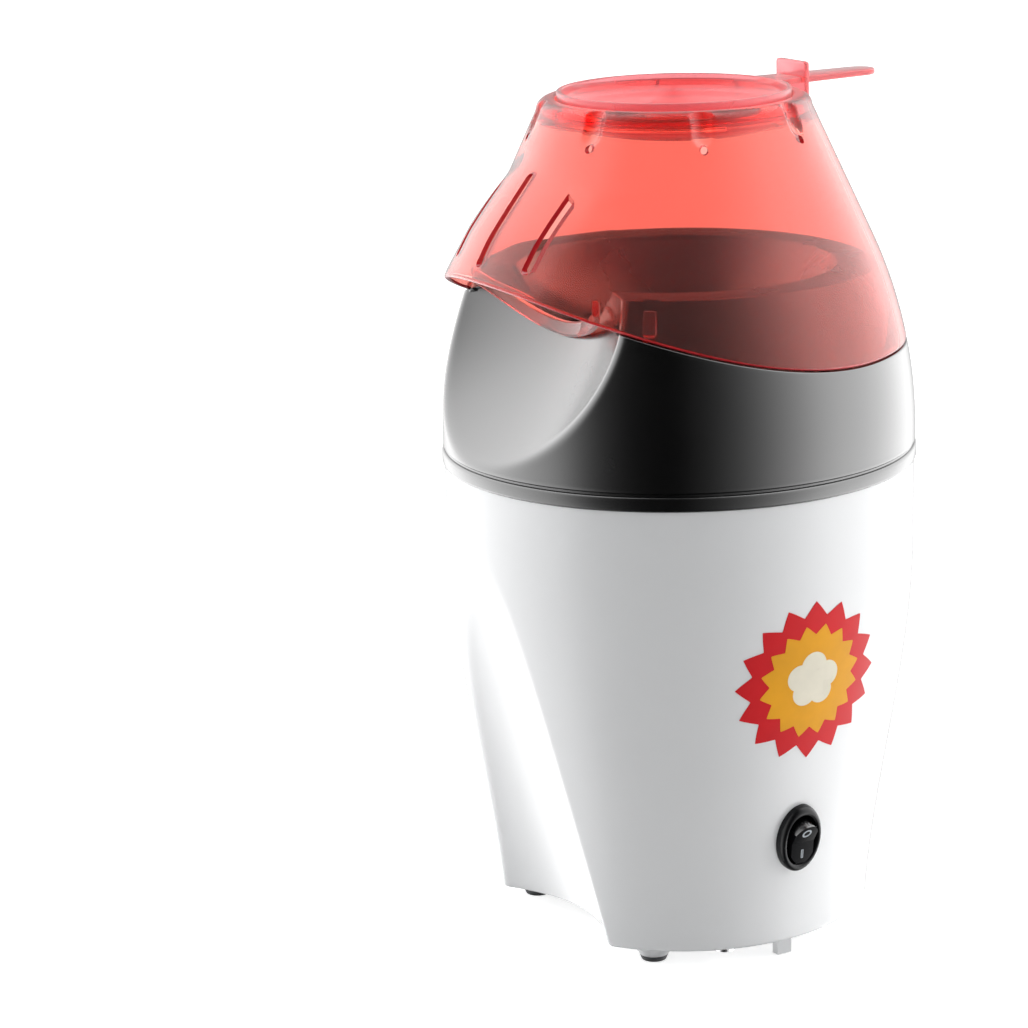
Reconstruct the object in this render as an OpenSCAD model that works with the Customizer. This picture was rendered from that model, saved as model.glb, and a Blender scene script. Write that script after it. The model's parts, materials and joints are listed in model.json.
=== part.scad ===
// Hot-air popcorn maker: a tapered body with a blower and heater inside, an upper
// housing with a popping chamber and a chute, a lift-off lid and a measuring cup.
// Z is up, Z = 0 is the standing plane, the chute faces -Y and the switch +X.

/* [Body] */
// Radius of the body at its lower edge
foot_r = 63.3; // [60:0.1:66]
// Radius of the body just under the flange
body_r = 79.5; // [76:0.1:82]
// Height of the body's lower edge
body_z0 = 6; // [5:0.5:8]
// Height where the body reaches its full radius
body_full_z = 135; // [120:1:150]
// Wall thickness of the body
body_wall = 2.5; // [2:0.1:3]

/* [Front recess] */
// Radius of the hollow that a bowl stands in
recess_r = 60; // [50:1:80]
// Distance of the hollow's wall from the axis at the lower edge
recess_depth_y = 45; // [40:1:50]
// Lean of the hollow's wall, in degrees
recess_lean = 16.5; // [14:0.5:19]

/* [Upper housing] */
// Height of the flange's underside
flange_z = 162; // [150:1:170]
// Height of the flange band
flange_h = 6; // [4:0.5:8]
// Radius of the flange
flange_r = 80.3; // [79:0.1:82]
// Height of the collar's top edge
collar_z = 228; // [222:1:232]
// Inner radius of the funnel at the popping chamber
funnel_r = 41.2; // [38:0.1:43]
// Inner radius of the funnel at the collar's top edge
funnel_top_r = 54; // [50:0.5:57]

/* [Chute] */
// Half-width of the chute
chute_half = 45; // [40:0.5:46]
// How far the chute's wall bows inward
chute_bow = 20; // [12:0.5:24]
// Distance of the chute's wall from the axis
chute_y = 44; // [42:0.5:48]
// Slope of the chute's floor below the horizontal, in degrees
chute_slope = 37; // [30:1:45]

/* [Lid] */
// Wall thickness of the lid
lid_wall = 2; // [1.6:0.1:2.4]
// Height of the lid's top plane
lid_top_z = 284.2; // [280:0.1:288]
// Gap between the lid and the collar
lid_gap = 0.4; // [0.35:0.05:0.6]
// Height of the lid's straight rear edge
lid_rear_z = 201.5; // [198:0.5:204]
// Radius of the lid edge's sweep towards the front
lid_sweep_r = 225; // [200:5:260]
// Number of fluted vents round the shoulder
flutes = 8; // [6:1:10]

/* [Cup] */
// Radius of the measuring cup's rim
cup_r = 39; // [37:0.1:39.2]
// Height of the cup's rim
cup_rim_z = 286.6; // [286:0.1:288]
// Distance of the handle's tip from the axis
handle_reach = 81.4; // [70:0.1:90]

/* [Switch] */
// Height of the switch's centre
switch_z = 44.5; // [40:0.5:55]
// Half height of the switch's oval bezel
bezel_r = 12; // [11:0.5:13]
// Width of the oval bezel as a share of its height
bezel_share = 0.68; // [0.64:0.02:0.8]
// Angle that the rocker tilts each way from level, in degrees
rocker_tilt = 11; // [8:1:12]

/* [Badge] */
// Height of the badge's centre
badge_z = 101; // [95:1:108]
// Radius of the badge's points
badge_r = 27.5; // [20:0.5:29]
// Number of points round the badge
badge_points = 16; // [10:1:24]

/* [Fan and motor] */
// Outer radius of the impeller
fan_r = 38; // [34:1:42]
// Number of impeller blades
blades = 12; // [8:1:16]
// Radius of the motor's can
motor_r = 14; // [12:0.5:16]
// Radius of the motor's shaft
shaft_r = 1.15; // [1:0.05:1.5]

/* [Popping chamber] */
// Height of the chamber's floor
chamber_z = 118; // [112:1:124]
// Wall thickness of the chamber
chamber_wall = 0.8; // [0.6:0.1:1.2]
// Number of air slots
air_slots = 20; // [12:2:28]

/* [Hidden] */
$fn = 96;

fit = 0.15;                 // easy gap between parts of one body
body_slope = 0.07;          // lean of the body's side at its lower edge
plate_t = 2.6;              // base plate
plate_r = foot_r - body_wall - fit;
housing_top = flange_z + flange_h;

// upper cone: vertical at cone_z0, an arc up to cone_z1, then a straight side
cone_r = 79.9;
cone_z0 = 172;
cone_z1 = 237;
cone_arc = 156;
cone_lean = asin((cone_z1 - cone_z0) / cone_arc);
shoulder_round = 3.6;
shoulder_z = lid_top_z - shoulder_round;

// lid edge: flat at the rear, sweeping up on an arc from sweep_y forward
sweep_y = 30;

// collar under the lid, and the hollow between collar and funnel
collar_wall = 2.5;
collar_inset = lid_wall + lid_gap;
funnel_z = 189.2;
chamber_rim = 2.2;
funnel_flare_z = 203;

// chute floor: a point on its centre line
floor_y = -64.5;
floor_z = 181.5;
floor_bow = 12.2;

// hood: discs [height, centre distance, radius] from below the edge to the cone
hood_discs = [[214, 29, 54.6], [228, 27.6, 54], [236, 24.6, 52], [244, 22.6, 49.2],
    [251, 19.6, 46.6], [258, 18.4, 42], [272, 20.6, 28]];
slot_x = [-21.5, 0, 21.5];
slot_w = 3.4;
slot_low_z = 237;
slot_high_z = 262;

// locating tabs at each side of the chute, and the strip along its top edge
tab_angle = 40.6;
tab_w = 4;
tab_z = 217;
tongue_z = 209.2;
tongue_h = 5;
tongue_rise = 0.0089;

// cup's bowl, and the height where the cup stands on the lid
bowl_r = 36.2;
bowl_z = 270.3;
cup_rest_z = 280.7;

// inner stack, from the bottom up
motor_low_z = 34;
motor_high_z = 66.2;
fan_plate_z = 66.2;
fan_plate_t = 2;
fan_wall_r = 50;
fan_low_z = 71;
fan_high_z = 84.2;
shield_z = 95;
shield_top_z = 150;
shield_r = 50;
ear_r = 55;
ear_angles = [90, 210, 330];
coil_ring_r = 33;
coil_r = 4.2;
wire_r = 0.45;
coil_z = 105;
coil_turns = 22;

// switch, leaning back with the body's side; the rocker's pivot stands rocker_z out from it
switch_lean = 9;
rocker_w = 8.8;
rocker_z = 0.5;

// cord's hole, feet, screw posts and air grille
cord_z = 21;
foot_ring_r = 53;
boss_ring_r = 56.4;
boss_angles = [20, 160, 200, 340];
foot_angles = [45, 135, 225, 315];
grille_r = 36;
grille_pitch = 6;

function body_at(z) =
    let (h = body_full_z - body_z0, t = min(1, (z - body_z0) / h))
    foot_r + (body_r - foot_r) * (3 * t * t - 2 * t * t * t)
        + body_slope * h * (t * t * t - 2 * t * t + t);

function cone_at(z) =
    z < cone_z0 ? cone_r
    : z < cone_z1 ? cone_r - cone_arc + sqrt(cone_arc * cone_arc - pow(z - cone_z0, 2))
    : cone_at(cone_z1 - 0.001) - (z - cone_z1) * tan(cone_lean);

function funnel_at(z) =
    z < funnel_flare_z ? funnel_r
    : funnel_r + (funnel_top_r - funnel_r) * pow((z - funnel_flare_z) / (collar_z - funnel_flare_z), 1.3);

function lid_edge_at(y) =
    y > sweep_y ? lid_rear_z
    : lid_rear_z + lid_sweep_r - sqrt(lid_sweep_r * lid_sweep_r - pow(y - sweep_y, 2));

function steps(a, b, n) = [for (i = [0:n]) a + (b - a) * i / n];
function flip(v) = [for (i = [len(v) - 1:-1:0]) v[i]];

module ring(r_out, r_in, z, h) {
    translate([0, 0, z]) difference() {
        cylinder(r = r_out, h = h);
        translate([0, 0, -1]) cylinder(r = r_in, h = h + 2);
    }
}

module around(angles, r) {
    for (a = angles) rotate([0, 0, a]) translate([r, 0, 0]) children();
}

function unit(v) = v / norm(v);

// a round tube swept along points; a closed one joins its end to its start.
// sideways holds a direction across the tube, one for all points or one for each
module tube(points, r, sides, sideways = [[0.31, 0.17, 0.94]], closed = false) {
    n = len(points);
    m = sides;
    before = [for (i = [0:n - 1]) points[closed ? (i + n - 1) % n : max(0, i - 1)]];
    after = [for (i = [0:n - 1]) points[closed ? (i + 1) % n : min(n - 1, i + 1)]];
    rings = [for (i = [0:n - 1])
        let (t = unit(after[i] - before[i]), a = unit(cross(t, sideways[i % len(sideways)])), b = cross(t, a))
        for (j = [0:m - 1]) points[i] + r * (cos(j * 360 / m) * a + sin(j * 360 / m) * b)];
    spans = closed ? n : n - 1;
    walls = [for (i = [0:spans - 1]) for (j = [0:m - 1])
        let (k = (i + 1) % n, l = (j + 1) % m)
        for (f = [[k * m + l, i * m + l, i * m + j], [k * m + j, k * m + l, i * m + j]]) f];
    caps = closed ? [] : [[for (j = [0:m - 1]) j], [for (j = [m - 1:-1:0]) (n - 1) * m + j]];
    polyhedron(points = rings, faces = concat(walls, caps), convexity = 10);
}

// a smooth curve through p, with n steps between neighbours
function smooth(p, n) = concat([for (i = [0:len(p) - 2]) for (s = [0:n - 1])
    let (t = s / n, a = p[max(0, i - 1)], b = p[i], c = p[i + 1], d = p[min(len(p) - 1, i + 2)])
    0.5 * (2 * b + (c - a) * t + (2 * a - 5 * b + 4 * c - d) * t * t + (3 * b - a - 3 * c + d) * t * t * t)],
    [p[len(p) - 1]]);

module screw(length, r, head_r, head_h) {
    cylinder(r = r, h = length, $fn = 24);
    translate([0, 0, -head_h]) difference() {
        cylinder(r = head_r, h = head_h, $fn = 32);
        for (a = [0, 90]) rotate([0, 0, a]) cube([head_r * 1.2, 0.8, 1.2], center = true);
    }
}

// ---------------------------------------------------------------- lower body

module body_solid(inset, low, high) {
    side = steps(low, high, 22);
    rotate_extrude() polygon(concat([[0, low]], [for (z = side) [body_at(z) - inset, z]], [[0, high]]));
}

// the hollow in front, grown by g
module front_recess(g) {
    translate([0, -recess_depth_y - recess_r, body_z0]) rotate([recess_lean, 0, 0])
        translate([0, 0, -60]) cylinder(r = recess_r + g, h = 240, $fn = 128);
}

module at_switch() {
    translate([body_at(switch_z), 0, switch_z]) rotate([0, 90 + switch_lean, 0]) children();
}

module lower_housing() {
    color("white") difference() {
        union() {
            difference() {
                body_solid(0, body_z0, flange_z);
                front_recess(0);
                difference() {
                    body_solid(body_wall, body_z0 - 1, flange_z + 1);
                    front_recess(body_wall);
                }
            }
            // screw posts, each joined to the wall by a web
            intersection() {
                around(boss_angles, boss_ring_r) translate([0, 0, body_z0 + plate_t + fit]) {
                    cylinder(r = 4.5, h = 20, $fn = 32);
                    translate([0, -1.2, 0]) cube([16, 2.4, 20]);
                }
                body_solid(1, body_z0, flange_z);
            }
        }
        at_switch() scale([1, bezel_share, 1]) {
            translate([0, 0, -8]) cylinder(r = 10.2, h = 16);
            translate([0, 0, -1.3]) cylinder(r = bezel_r + 0.1, h = 8);
        }
        around(boss_angles, boss_ring_r) translate([0, 0, body_z0]) cylinder(r = 1.25, h = 16, $fn = 24);
        translate([0, 50, cord_z]) rotate([-90, 0, 0]) cylinder(r = 5.2, h = 40, $fn = 48);
    }
}

module base_plate() {
    color("whitesmoke") difference() {
        union() {
            difference() {
                translate([0, 0, body_z0]) cylinder(r = plate_r, h = plate_t);
                front_recess(body_wall + fit);
            }
            around(foot_angles, foot_ring_r) translate([0, 0, 2])
                cylinder(r1 = 5.1, r2 = 7.6, h = 4.2, $fn = 48);
            translate([57.5, -2.8, 0.5]) cube([3, 5.6, 6]);
            ring(10, 7, body_z0, 8);
        }
        around(foot_angles, foot_ring_r) translate([0, 0, 1]) cylinder(r = 2.3, h = 5, $fn = 32);
        around(boss_angles, boss_ring_r) translate([0, 0, body_z0 - 1]) cylinder(r = 1.8, h = 6, $fn = 24);
        // air slots either side of the motor
        for (i = [-5:5]) if (i != 0) {
            half = sqrt(grille_r * grille_r - pow(grille_pitch * i, 2)) - 1.5;
            for (y = [11.5, -half]) translate([grille_pitch * i - 1.5, y, body_z0 - 1])
                cube([3, half - 11.5, plate_t + 2]);
        }
    }
}

module foot_pads() {
    color("dimgray") around(foot_angles, foot_ring_r) {
        cylinder(r1 = 4.2, r2 = 5.1, h = 2, $fn = 48);
        cylinder(r = 2.2, h = 5, $fn = 32);
    }
}

module cord_grommet() {
    color("black") translate([0, body_at(cord_z), cord_z]) rotate([-90, 0, 0]) difference() {
        union() {
            translate([0, 0, -6]) cylinder(r = 5.1, h = 8, $fn = 48);
            translate([0, 0, 0.8]) cylinder(r1 = 7, r2 = 5.6, h = 3, $fn = 48);
            translate([0, 0, -6]) cylinder(r = 6.6, h = 2, $fn = 48);
        }
        translate([0, 0, -8]) cylinder(r = 3.4, h = 14, $fn = 32);
    }
}

module base_screws() {
    color("silver") around(boss_angles, boss_ring_r) translate([0, 0, body_z0 - 0.1])
        screw(15, 1.2, 3.3, 1.8);
}

module badge() {
    points = [for (i = [0:2 * badge_points - 1])
        let (a = i * 180 / badge_points, r = i % 2 == 0 ? badge_r : badge_r * 0.84)
        [r * cos(a), r * sin(a)]];
    color("crimson") intersection() {
        difference() {
            body_solid(-0.45, badge_z - 30, badge_z + 30);
            body_solid(-0.1, badge_z - 31, badge_z + 31);
        }
        translate([50, 0, badge_z]) rotate([90, 0, 90]) linear_extrude(height = 50) polygon(points);
    }
}

// ------------------------------------------------------------- upper housing

// the space in front of the chute's wall, grown by g
module chute_column(g) {
    a = chute_half + g;
    b = chute_bow + g;
    arc = [for (t = [0:7.5:180]) [a * cos(t), -chute_y - chute_bow + b * sin(t)]];
    translate([0, 0, 150]) linear_extrude(height = 120)
        polygon(concat([[a, -140]], arc, [[-a, -140]]));
}

// the space above the chute's sloping floor, grown by g
module chute_trough(g) {
    a = chute_half + g;
    b = floor_bow + g;
    arc = [for (t = [180:7.5:360]) [a * cos(t), b * sin(t)]];
    translate([0, floor_y - floor_bow * sin(chute_slope), floor_z + floor_bow * cos(chute_slope)])
        rotate([90 + chute_slope, 0, 0]) linear_extrude(height = 240, center = true)
            polygon(concat(arc, [[a, 160], [-a, 160]]));
}

module chute_space(g) {
    intersection() {
        chute_column(g);
        chute_trough(g);
    }
}

// everything above the lid's edge, raised by g
module above_edge(g) {
    front = [for (y = [-110:7:sweep_y]) [y, lid_edge_at(y) + g]];
    translate([-120, 0, 0]) rotate([90, 0, 90]) linear_extrude(height = 240)
        polygon(concat(front, [[120, lid_rear_z + g], [120, 330], [-110, 330]]));
}

// heights that follow the cone's curve from low to high; its straight side needs only its ends
function cone_steps(low, high, n) =
    high > cone_z1 ? concat(steps(low, cone_z1, n), [high]) : steps(low, high, n);

module cone_solid(inset, low, high, n) {
    side = cone_steps(low, high, n);
    rotate_extrude() polygon(concat([[0, low]], [for (z = side) [cone_at(z) - inset, z]], [[0, high]]));
}

module chute_housing() {
    hollow_side = steps(flange_z - 1, collar_z - collar_wall, 16);
    funnel_side = steps(funnel_z, collar_z + 0.01, 12);
    color("#141414") difference() {
        union() {
            difference() {
                union() {
                    translate([0, 0, flange_z]) cylinder(r = flange_r, h = flange_h - 1);
                    cone_solid(0.8, flange_z + 1, 236, 16);
                }
                above_edge(0);
            }
            difference() {
                cone_solid(0, housing_top, 236, 16);
                above_edge(0);
            }
            cone_solid(collar_inset, flange_z + 2, collar_z, 16);
        }
        // hollow between the outer wall and the funnel
        difference() {
            rotate_extrude() polygon(concat(
                [[0, flange_z - 1]],
                [for (z = hollow_side) [cone_at(z) - collar_inset - collar_wall, z]],
                [[0, collar_z - collar_wall]]));
            rotate_extrude() polygon(concat(
                [[0, funnel_z]],
                [for (z = funnel_side) [funnel_at(z) + collar_wall, z]],
                [[0, collar_z + 1]]));
            chute_space(body_wall);
            around(ear_angles, ear_r) translate([0, 0, shield_top_z + 1.2])
                cylinder(r = 4.2, h = 80, $fn = 32);
            for (a = ear_angles) rotate([0, 0, a]) translate([42.5, -1, funnel_z + 1]) cube([14, 2, 50]);
        }
        rotate_extrude() polygon(concat(
            [[0, funnel_z - 1]], [for (z = funnel_side) [funnel_at(z), z]], [[0, collar_z + 1]]));
        chute_space(0);
        around(ear_angles, ear_r) translate([0, 0, shield_top_z]) cylinder(r = 1.2, h = 14, $fn = 24);
        // keyways for the lid's tabs
        for (s = [-1, 1]) rotate([0, 0, -90 + s * (90 - tab_angle)])
            translate([cone_at(220) - collar_inset - 2.4, -tab_w / 2 - 0.4, tab_z - 0.5])
                cube([12, tab_w + 0.8, 40]);
    }
}

module popping_chamber() {
    slot_z = chamber_z + 8;
    color("silver") difference() {
        union() {
            translate([0, 0, chamber_z])
                cylinder(r = funnel_r + chamber_wall, h = funnel_z - 1.2 - chamber_z);
            translate([0, 0, funnel_z - 2.2]) cylinder(r = funnel_r + chamber_rim, h = 1);
        }
        difference() {
            translate([0, 0, chamber_z + chamber_wall]) cylinder(r = funnel_r, h = 90);
            translate([0, 0, chamber_z]) cylinder(r1 = 24, r2 = 10, h = 7);
        }
        translate([0, 0, chamber_z - 1]) cylinder(r1 = 24, r2 = 8, h = 7);
        for (i = [0:air_slots - 1]) rotate([0, 0, i * 360 / air_slots])
            translate([funnel_r, 0, slot_z]) rotate([30, 0, 0]) cube([6, 1.8, 11], center = true);
    }
}

module chamber_seal() {
    color("firebrick") ring(funnel_r + chamber_rim, funnel_r + 0.4, funnel_z - 1.15, 1.1);
}

module heat_shield() {
    wall_in = shield_r - 0.8;
    lip_r = shield_r + 1;
    neck_r = funnel_r + chamber_wall + 0.3;
    color("gainsboro") difference() {
        union() {
            rotate_extrude() polygon([
                [wall_in, shield_z], [lip_r, shield_z], [lip_r, shield_z + 1], [shield_r, shield_z + 1],
                [shield_r, shield_top_z], [lip_r, shield_top_z], [lip_r, shield_top_z + 1],
                [neck_r, shield_top_z + 1], [neck_r, shield_top_z], [wall_in, shield_top_z]]);
            around(ear_angles, ear_r) for (z = [shield_z, shield_top_z])
                translate([-4.6, -4, z]) cube([8.6, 8, 1]);
        }
        around(ear_angles, ear_r) translate([0, 0, shield_z - 1]) cylinder(r = 1.5, h = 60, $fn = 24);
    }
}

module shield_screws() {
    color("silver") around(ear_angles, ear_r) translate([0, 0, shield_top_z - 0.1]) screw(12, 1.1, 2.6, 1.6);
}

// ------------------------------------------------------------ heater and fan

// direction out of the coil's core at ring angle u and turn angle v
function coil_out(u, v) = [cos(v) * cos(u), cos(v) * sin(u), sin(v)];

module heater_coil() {
    n = coil_turns * 12;
    out = [for (i = [0:n - 1]) coil_out(i * 360 / n, i * 30)];
    path = [for (i = [0:n - 1])
        [coil_ring_r * cos(i * 360 / n), coil_ring_r * sin(i * 360 / n), coil_z] + coil_r * out[i]];
    color("darkgray") tube(path, wire_r, 6, out, closed = true);
}

module heater_frame() {
    color("tan") difference() {
        union() {
            for (a = [0, 90]) rotate([0, 0, a]) translate([-46, -0.5, shield_z + 2.5]) cube([92, 1, 16]);
            ring(12, 4, shield_z + 2.5, 1.2);
        }
        rotate_extrude() translate([coil_ring_r, coil_z]) circle(r = coil_r + 1.2);
    }
}

module thermostat() {
    color("lightgray") translate([-shield_r - 0.3, 0, 125]) rotate([0, -90, 0]) {
        cylinder(r = 8, h = 5, $fn = 48);
        translate([-4, -12, 0]) cube([8, 24, 0.8]);
        for (s = [-1, 1]) translate([-0.4, s * 3 - 1.5, 4]) cube([0.8, 3, 7]);
    }
}

module thermal_fuse() {
    color("gold") rotate([0, 0, 150]) translate([shield_r + 2.6, 0, 118]) {
        cylinder(r = 1.9, h = 11, $fn = 24);
        translate([0, 0, -8]) cylinder(r = 0.5, h = 27, $fn = 16);
    }
}

module fan_housing() {
    color("#d8d2c4") difference() {
        union() {
            ring(fan_wall_r, fan_wall_r - 1.6, fan_plate_z, shield_z - 0.1 - fan_plate_z);
            ring(fan_wall_r, 27, fan_plate_z, fan_plate_t);
            translate([0, 0, fan_plate_z]) cylinder(r = 13, h = fan_plate_t);
            for (a = [0:60:300]) rotate([0, 0, a]) translate([11, -1.5, fan_plate_z])
                cube([18, 3, fan_plate_t]);
            around(ear_angles, ear_r) translate([-6, -4, shield_z - 4]) cube([10, 8, 3.9]);
        }
        translate([0, 0, fan_plate_z - 1]) cylinder(r = 3.3, h = 5, $fn = 32);
        for (s = [-1, 1]) translate([8 * s, 0, fan_plate_z - 1]) cylinder(r = 1.4, h = 5, $fn = 24);
        around(ear_angles, ear_r) translate([0, 0, shield_z - 5]) cylinder(r = 1.3, h = 8, $fn = 24);
    }
}

module fan_screws() {
    color("silver") around(ear_angles, ear_r) translate([0, 0, shield_z + 1.1]) mirror([0, 0, 1])
        screw(7, 1.2, 2.4, 1.5);
}

module motor_can() {
    color("silver") difference() {
        union() {
            translate([0, 0, motor_low_z]) cylinder(r = motor_r, h = motor_high_z - motor_low_z - 0.05);
            translate([0, 0, motor_high_z - 1]) cylinder(r = 3.2, h = 2.4, $fn = 32);
        }
        translate([0, 0, motor_low_z - 1]) cylinder(r = motor_r - 0.9, h = motor_high_z - motor_low_z);
        translate([0, 0, motor_low_z]) cylinder(r = 2.2, h = 50, $fn = 32);
        for (s = [-1, 1]) translate([8 * s, 0, 60]) cylinder(r = 1.05, h = 10, $fn = 24);
    }
}

module motor_endcap() {
    color("black") difference() {
        union() {
            translate([0, 0, motor_low_z - 3]) cylinder(r = motor_r, h = 2.95);
            translate([0, 0, motor_low_z - 5]) cylinder(r = 4, h = 3, $fn = 32);
            for (s = [-1, 1]) translate([9 * s - 0.4, -1.5, motor_low_z - 7.4]) cube([0.8, 3, 5]);
        }
        translate([0, 0, motor_low_z - 6]) cylinder(r = 2.2, h = 10, $fn = 32);
    }
}

module motor_bushes() {
    color("peru") {
        ring(2.15, shaft_r + 0.05, motor_low_z - 4.8, 4.6);
        ring(2.15, shaft_r + 0.05, motor_high_z - 2, 3.2);
    }
}

module motor_magnets() {
    color("#303030") for (a = [20, 200]) rotate([0, 0, a]) rotate_extrude(angle = 140)
        translate([11, motor_low_z + 5]) square([2.05, 23]);
}

module motor_screws() {
    color("silver") for (s = [-1, 1])
        translate([8 * s, 0, fan_plate_z + fan_plate_t + 0.1]) mirror([0, 0, 1]) screw(4.6, 1, 2.2, 1.4);
}

module rectifier_board() {
    color("darkgreen") translate([-13, -9, 25]) difference() {
        cube([26, 18, 1.5]);
        for (x = [4, 22]) translate([x, 9, -1]) cylinder(r = 0.9, h = 4, $fn = 24);
    }
}

module rectifier_diodes() {
    color("#202020") for (x = [-7, 7], y = [-5, 5])
        translate([x - 3, y, 23.2]) rotate([0, 90, 0]) cylinder(r = 1.6, h = 6, $fn = 24);
}

module fan_impeller() {
    color("ivory") difference() {
        union() {
            translate([0, 0, fan_high_z - 1.2]) cylinder(r = fan_r, h = 1.2);
            translate([0, 0, fan_low_z]) cylinder(r = 4, h = fan_high_z - fan_low_z, $fn = 48);
            intersection() {
                for (i = [0:blades - 1]) rotate([0, 0, i * 360 / blades]) translate([22, 0, fan_low_z])
                    rotate_extrude(angle = 75, start = -15)
                        translate([13.5, 0]) square([1.1, fan_high_z - fan_low_z]);
                ring(fan_r, 13, fan_low_z - 1, 20);
            }
        }
        translate([0, 0, fan_low_z - 1]) cylinder(r = shaft_r + 0.02, h = 20, $fn = 32);
    }
}

module motor_shaft() {
    color("lightgray") translate([0, 0, motor_low_z - 4]) cylinder(r = shaft_r, h = 53.5, $fn = 32);
}

module motor_armature() {
    color("chocolate") difference() {
        union() {
            for (a = [0:120:240]) rotate([0, 0, a]) intersection() {
                translate([0, 0, motor_low_z + 8]) cylinder(r = 10.4, h = 18);
                union() {
                    translate([0, -2, motor_low_z]) cube([12, 4, 40]);
                    rotate_extrude(angle = 96, start = -48) translate([8.6, motor_low_z]) square([3, 40]);
                }
            }
            translate([0, 0, motor_low_z + 1.5]) cylinder(r = 3.4, h = 24.5, $fn = 36);
        }
        translate([0, 0, motor_low_z]) cylinder(r = shaft_r + 0.02, h = 40, $fn = 32);
    }
}

// -------------------------------------------------------------------- switch

module switch_body() {
    color("black") at_switch() scale([1, bezel_share, 1]) difference() {
        union() {
            rotate_extrude() polygon([[0, -1.2], [bezel_r, -1.2], [bezel_r, 1.2], [bezel_r - 0.3, 2.2],
                [bezel_r - 0.9, 2.95], [bezel_r - 1.8, 3.3], [0, 3.3]]);
            translate([0, 0, -15]) cylinder(r = 10, h = 16);
        }
        translate([0, 0, -6]) cylinder(r = 8.9, h = 12);
    }
}

module switch_terminals() {
    color("silver") at_switch() for (x = [-5, 0, 5]) translate([x - 0.4, -2.4, -23]) cube([0.8, 4.8, 8]);
}

module switch_rocker() {
    r = 7.8;
    color("#101010") at_switch() translate([0, 0, rocker_z]) rotate([0, rocker_tilt, 0]) {
        intersection() {
            scale([1, bezel_share, 1]) cylinder(r = r, h = 20, center = true);
            rotate([90, 0, 0]) translate([0, 0, -rocker_w / 2]) linear_extrude(height = rocker_w)
                polygon([[-r, -1], [-3, -2.6], [3, -2.6], [r, -1], [r, 4.6], [0, 2.9], [-r, 4.6]]);
        }
        rotate([90, 0, 0]) cylinder(r = 1.3, h = 17.2 * bezel_share, center = true, $fn = 32);
    }
}

module lead_wires() {
    sx = body_at(switch_z) - 24;
    color("firebrick") {
        tube(smooth([[sx, 0, switch_z - 1.5], [36, 10, 40], [20, 12, 31], [10, 6, 27.4]], 6), 1.1, 8);
        tube(smooth([[sx + 0.8, -1, switch_z + 3.5], [46, -22, 55], [39, -39, 68], [32, -45.5, 78],
            [16, -53, 92], [-22, -53, 104], [-48, -34, 112], [-62, -12, 120], [-61, -3, 125]], 5), 1.1, 8);
        tube(smooth([[sx - 0.8, 0, switch_z - 6.5], [34, 24, 30], [16, 44, cord_z + 2], [2, 56, cord_z]], 6),
            1.4, 8);
    }
}

// ----------------------------------------------------------------------- lid

module hood_solid(inset) {
    hull() for (d = hood_discs)
        translate([0, -d[1], d[0]]) cylinder(r = d[2] - inset, h = 0.01, $fn = 64);
}

module lid_outer() {
    r = shoulder_round;
    top_r = cone_at(shoulder_z);
    shoulder = [for (t = [0:15:90]) [top_r - r + r * cos(t), shoulder_z + r * sin(t)]];
    side = cone_steps(190, shoulder_z - 0.3, 16);
    rotate_extrude() polygon(concat(
        [[0, 190]], [for (z = side) [cone_at(z), z]], shoulder, [[0, lid_top_z]]));
}

// a strip that follows the chute's wall, grown towards the axis by g
function tongue_side(bow, g) =
    [for (t = bow) [(chute_half + g) * cos(t), -chute_y - chute_bow + g + chute_bow * sin(t)]];

module lid_tongue() {
    bow = [for (t = [12:6.5:168]) t];
    half = steps(-48, 48, 16);
    intersection() {
        translate([0, 0, 200]) linear_extrude(height = 40)
            polygon(concat(tongue_side(bow, -0.5), tongue_side(flip(bow), -2.7)));
        translate([0, -30, 0]) rotate([90, 0, 0]) linear_extrude(height = 50) polygon(concat(
            [for (x = half) [x, tongue_z + tongue_rise * x * x]],
            [for (x = flip(half)) [x, tongue_z + tongue_h + tongue_rise * x * x]]));
        union() {
            cone_solid(0.3, 195, 260, 12);
            hood_solid(0.3);
        }
    }
}

module lid() {
    color([0.9, 0.1, 0.12, 0.6]) {
        difference() {
            union() {
                lid_outer();
                hood_solid(0);
            }
            cone_solid(lid_wall, 180, shoulder_z - 0.5, 16);
            hood_solid(lid_wall);
            cylinder(r = 39.6, h = 400);
            difference() {
                cylinder(r = 200, h = 300);
                above_edge(0.3);
            }
            for (x = slot_x) {
                translate([x - slot_w / 2, -100, slot_low_z]) cube([slot_w, 46, slot_high_z - slot_low_z]);
                for (z = [slot_low_z, slot_high_z]) translate([x, -54, z]) rotate([90, 0, 0])
                    cylinder(r = slot_w / 2, h = 46, $fn = 32);
            }
            for (i = [0:flutes - 1]) rotate([0, 0, (i + 0.5) * 360 / flutes]) {
                translate([cone_at(279) + 3.9, 0, 279]) rotate([0, -cone_lean, 0])
                    cylinder(r = 5, h = 12, center = true, $fn = 48);
                translate([cone_at(273), 0, 273]) rotate([0, 90, 0])
                    cylinder(r = 1.3, h = 12, center = true, $fn = 24);
            }
        }
        // ring that the cup stands on
        ring(cone_at(280) - 1, 36.8, 278.6, 1.8);
        lid_tongue();
        for (s = [-1, 1]) rotate([0, 0, -90 + s * (90 - tab_angle)]) intersection() {
            translate([cone_at(220) - lid_wall - 2.2, -tab_w / 2, tab_z]) cube([9, tab_w, 8]);
            cone_solid(0.5, 200, 240, 12);
        }
    }
}

function bowl_at(r) = bowl_z + (cup_rest_z - bowl_z) * pow(r / bowl_r, 3);

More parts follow.
